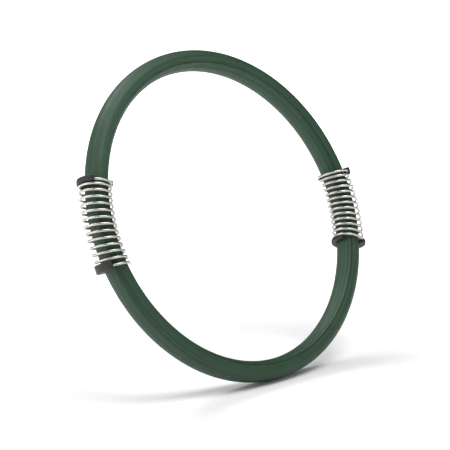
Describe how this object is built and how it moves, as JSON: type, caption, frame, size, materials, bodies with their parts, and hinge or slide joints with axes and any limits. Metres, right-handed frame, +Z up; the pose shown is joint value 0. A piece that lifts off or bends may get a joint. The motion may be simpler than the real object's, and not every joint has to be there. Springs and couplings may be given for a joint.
{
  "type": "sprung hoop",
  "caption": "Green rubber-covered hoop with bright coil springs threaded on opposite sides, each held between black C-shaped seats that slide along the cover.",
  "frame": {"origin": "the centre of the hoop, where its axis crosses the plane of its centreline", "axes": "+X towards the right-hand spring, +Y along the hoop's axis away from the front face, +Z up in the hoop's plane"},
  "size_m": [0.3644, 0.0353, 0.3492],
  "materials": {
    "core_steel": "drawn tube",
    "pin_steel": "oiled spring steel",
    "foam": "closed-cell foam",
    "green_cover": "satin extruded rubber with fine lengthwise lines",
    "spring_wire": "bright drawn wire",
    "seat_rubber": "matt moulded"
  },
  "bodies": {
    "hoop": {"core_upper": "core_steel", "core_lower": "core_steel", "spigot_left": "core_steel", "spigot_right": "core_steel", "roll_pin_left_upper": "pin_steel", "roll_pin_left_lower": "pin_steel", "roll_pin_right_upper": "pin_steel", "roll_pin_right_lower": "pin_steel", "foam_upper": "foam", "foam_lower": "foam", "cover_upper": "green_cover", "cover_lower": "green_cover"},
    "left_lower_seat": {"seat_left_lower": "seat_rubber", "spring_left": "spring_wire"},
    "left_upper_seat": {"seat_left_upper": "seat_rubber"},
    "right_lower_seat": {"seat_right_lower": "seat_rubber", "spring_right": "spring_wire"},
    "right_upper_seat": {"seat_right_upper": "seat_rubber"}
  },
  "joints": [
    {"name": "left_spring_slide", "type": "hinge", "parent": "hoop", "child": "left_lower_seat", "pos_m": [0, 0, 0], "axis": [0, -1, 0], "range_deg": [-70, 70]},
    {"name": "left_spring_squeeze", "type": "hinge", "parent": "left_lower_seat", "child": "left_upper_seat", "pos_m": [0, 0, 0], "axis": [0, -1, 0], "range_deg": [0, 9], "stiffness_Nm_per_rad": 43, "deforming": ["spring_left"]},
    {"name": "right_spring_slide", "type": "hinge", "parent": "hoop", "child": "right_lower_seat", "pos_m": [0, 0, 0], "axis": [0, -1, 0], "range_deg": [-70, 70]},
    {"name": "right_spring_squeeze", "type": "hinge", "parent": "right_lower_seat", "child": "right_upper_seat", "pos_m": [0, 0, 0], "axis": [0, 1, 0], "range_deg": [0, 6.5], "stiffness_Nm_per_rad": 43, "deforming": ["spring_right"]}
  ]
}
